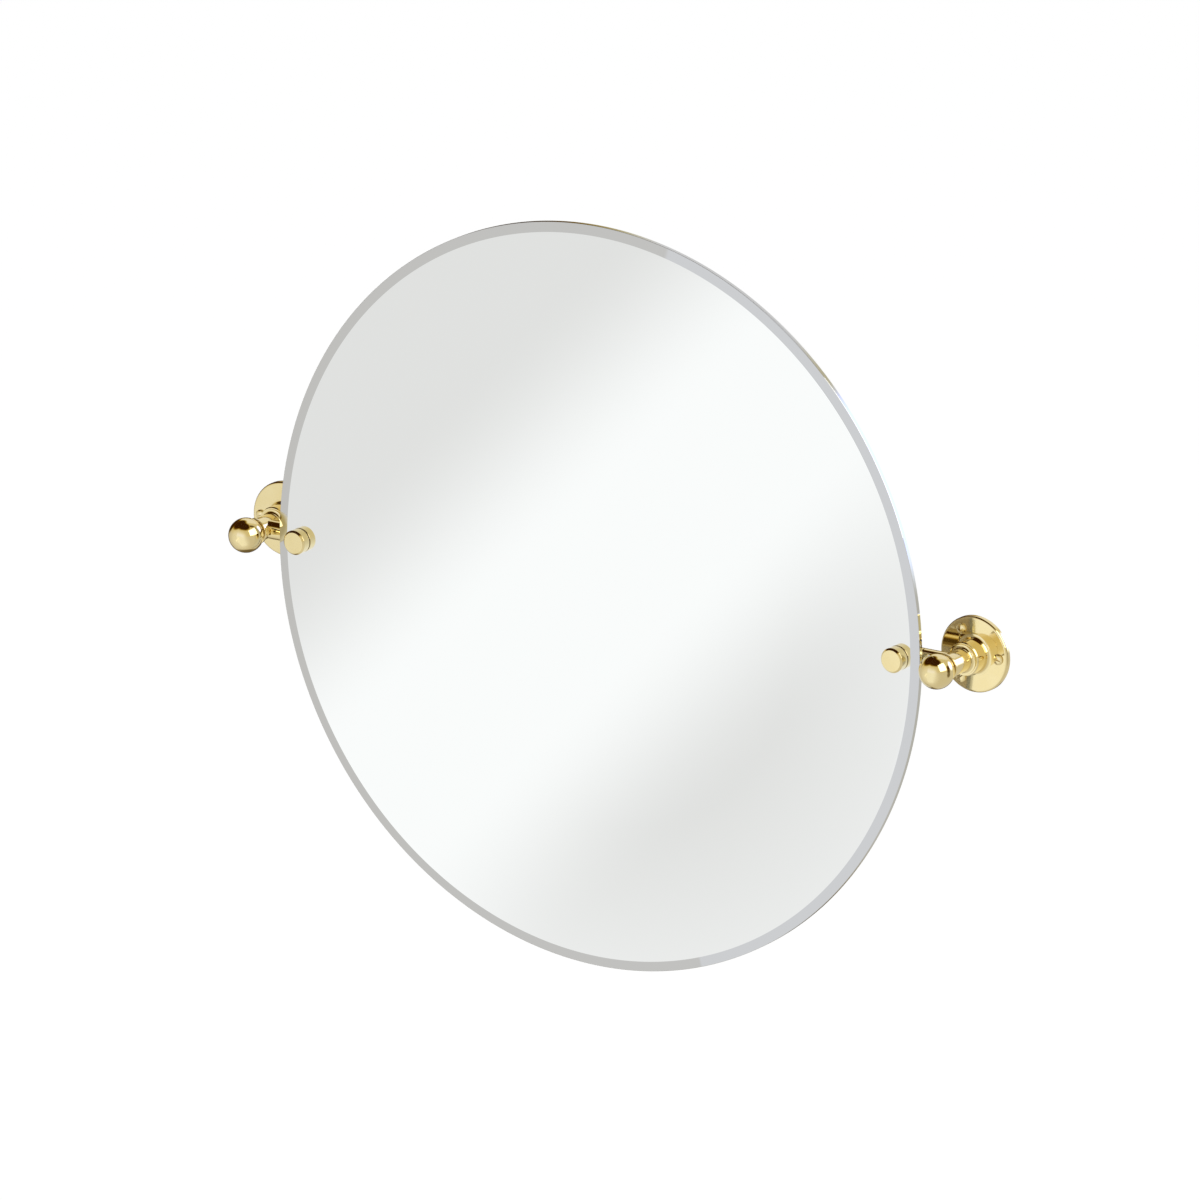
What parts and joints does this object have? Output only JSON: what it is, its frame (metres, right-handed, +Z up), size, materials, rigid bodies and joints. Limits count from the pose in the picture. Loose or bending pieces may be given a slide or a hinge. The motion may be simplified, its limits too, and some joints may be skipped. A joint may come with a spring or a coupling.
{
  "type": "pivot wall mirror",
  "caption": "Round frameless bevelled wall mirror that tilts on a horizontal axis between turned polished brass wall brackets with ball finials and clamping knobs.",
  "frame": {"origin": "on the wall plane, halfway between the two wall plates, at the height of the tilt axis", "axes": "+X to the viewer's right along the tilt axis, +Y into the wall, +Z up"},
  "size_m": [0.7078, 0.071, 0.6],
  "materials": {
    "silvered_glass": "polished, silvered",
    "backing_film": "matt safety film",
    "polished_brass": "polished, lacquered",
    "zinc_steel": "zinc plated",
    "nylon": "moulded",
    "dark_rubber": "matt"
  },
  "bodies": {
    "brackets": {"wall_plate_left": "polished_brass", "wall_screw_left_1": "polished_brass", "wall_screw_left_2": "polished_brass", "wall_screw_left_3": "polished_brass", "boss_left": "polished_brass", "post_screw_left": "zinc_steel", "post_arm_left": "polished_brass", "ball_finial_left": "polished_brass", "friction_washer_left": "dark_rubber", "wall_plate_right": "polished_brass", "wall_screw_right_1": "polished_brass", "wall_screw_right_2": "polished_brass", "wall_screw_right_3": "polished_brass", "boss_right": "polished_brass", "post_screw_right": "zinc_steel", "post_arm_right": "polished_brass", "ball_finial_right": "polished_brass", "friction_washer_right": "dark_rubber"},
    "mirror": {"mirror_glass": "silvered_glass", "mirror_backing": "backing_film", "pivot_end_left": "polished_brass", "pivot_pin_left": "zinc_steel", "glass_bush_left": "nylon", "clamp_stud_left": "zinc_steel", "knob_washer_left": "dark_rubber", "clamp_knob_left": "polished_brass", "pivot_end_right": "polished_brass", "pivot_pin_right": "zinc_steel", "glass_bush_right": "nylon", "clamp_stud_right": "zinc_steel", "knob_washer_right": "dark_rubber", "clamp_knob_right": "polished_brass"}
  },
  "joints": [
    {"name": "mirror_tilt", "type": "hinge", "parent": "brackets", "child": "mirror", "pos_m": [0, -0.0327, 0], "axis": [1, 0, 0], "range_deg": [-7.5, 7.5]}
  ]
}
